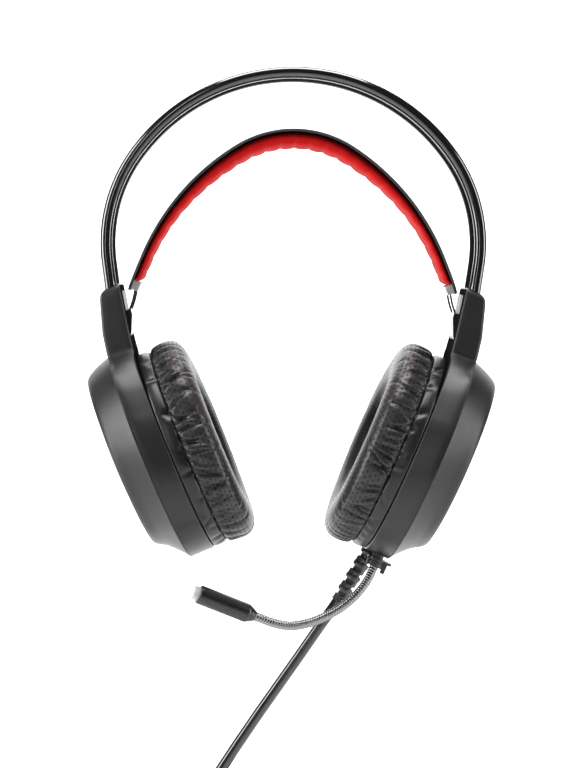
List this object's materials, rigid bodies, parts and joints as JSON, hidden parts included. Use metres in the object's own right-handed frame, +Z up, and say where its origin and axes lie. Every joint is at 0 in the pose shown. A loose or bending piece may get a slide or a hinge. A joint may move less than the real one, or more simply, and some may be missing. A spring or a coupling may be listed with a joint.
{
  "type": "gaming headset",
  "caption": "Wired gaming headset with two steel bows, a self-adjusting padded strap, tilted ear cups with perforated cushions and a flexible boom microphone.",
  "frame": {"origin": "crown of the suspension pad's underside, where a head carries the headset", "axes": "+Z up, +X towards the wearer's left ear, -Y towards the wearer's front"},
  "size_m": [0.1912, 0.1018, 0.4363],
  "materials": {
    "bow_steel": "gloss black enamel on steel tube",
    "wire_copper": "insulated wire",
    "strap_black": "fine-grained black imitation leather",
    "liner_red": "soft red padded imitation leather",
    "clip_grey": "translucent grey moulding",
    "elastic_black": "braided elastic",
    "gloss_black": "moulded black",
    "housing_black": "fine-textured satin moulding",
    "plate_black": "satin moulding",
    "diffuser_smoke": "smoked translucent ring, unlit",
    "board_green": "printed circuit board",
    "inner_plastic": "plain moulding",
    "magnet_steel": "plated steel",
    "diaphragm_film": "thin clear film",
    "cloth_black": "open speaker cloth",
    "skirt_leather": "smooth soft imitation leather",
    "cushion_leather": "perforated wrinkled imitation leather",
    "screw_black": "black oxide",
    "rubber_black": "moulded rubber",
    "neck_chrome": "bright spiral-wound steel",
    "mic_black": "satin black moulding",
    "capsule_alu": "plain",
    "lens_white": "milky translucent",
    "cord_black": "smooth jacket",
    "tie_black": "woven hook-and-loop strip",
    "plug_black": "moulded",
    "plug_steel": "nickel plated",
    "plug_tongue": "white insulator"
  },
  "bodies": {
    "headset_frame": {"front_bow": "bow_steel", "rear_bow": "bow_steel", "cross_wire": "wire_copper", "left_elastic_cords": "elastic_black", "right_elastic_cords": "elastic_black", "left_cord_exit": "gloss_black", "right_cord_exit": "gloss_black", "left_arm_housing": "housing_black", "right_arm_housing": "housing_black", "left_arm_cover": "housing_black", "right_arm_cover": "housing_black", "arm_screws": "screw_black", "left_outer_shell": "housing_black", "right_outer_shell": "housing_black", "left_dome_plate": "plate_black", "right_dome_plate": "plate_black", "left_light_ring": "diffuser_smoke", "right_light_ring": "diffuser_smoke", "left_led_board": "board_green", "right_led_board": "board_green", "left_baffle": "inner_plastic", "right_baffle": "inner_plastic", "housing_screws": "screw_black", "left_driver_frame": "inner_plastic", "right_driver_frame": "inner_plastic", "left_driver_magnet": "magnet_steel", "right_driver_magnet": "magnet_steel", "left_diaphragm": "diaphragm_film", "right_diaphragm": "diaphragm_film", "left_ear_cloth": "cloth_black", "right_ear_cloth": "cloth_black", "left_cushion_skirt": "skirt_leather", "right_cushion_skirt": "skirt_leather", "left_ear_cushion": "cushion_leather", "right_ear_cushion": "cushion_leather", "audio_board": "board_green", "mic_grommet": "rubber_black", "strain_relief": "rubber_black", "cord": "cord_black", "cord_coil": "cord_black", "cord_tie": "tie_black", "cord_tail": "cord_black", "plug_relief": "plug_black", "plug_body": "plug_black", "plug_shell": "plug_steel", "plug_tongue": "plug_tongue"},
    "suspension": {"suspension_strap": "strap_black", "strap_liner": "liner_red", "left_strap_clip": "clip_grey", "right_strap_clip": "clip_grey"},
    "boom_root": {"neck_root": "neck_chrome"},
    "boom_tip": {"neck_tip": "neck_chrome", "mic_collar": "mic_black", "mic_housing": "mic_black", "mic_capsule": "capsule_alu", "mic_lens": "lens_white"}
  },
  "joints": [
    {"name": "strap_rise", "type": "slide", "parent": "headset_frame", "child": "suspension", "axis": [0, 0, 1], "range_m": [0, 0.02], "stiffness_N_per_m": 120, "springref_m": -0.02, "deforming": ["left_elastic_cords", "right_elastic_cords"]},
    {"name": "boom_lift", "type": "hinge", "parent": "headset_frame", "child": "boom_root", "pos_m": [0.0394, -0.0053, -0.196], "axis": [-0.434, 0.9009, 0], "range_deg": [-30, 8]},
    {"name": "boom_turn", "type": "hinge", "parent": "boom_root", "child": "boom_tip", "pos_m": [0.0166, -0.0225, -0.2164], "axis": [0, 0, 1], "range_deg": [-5, 35]}
  ]
}
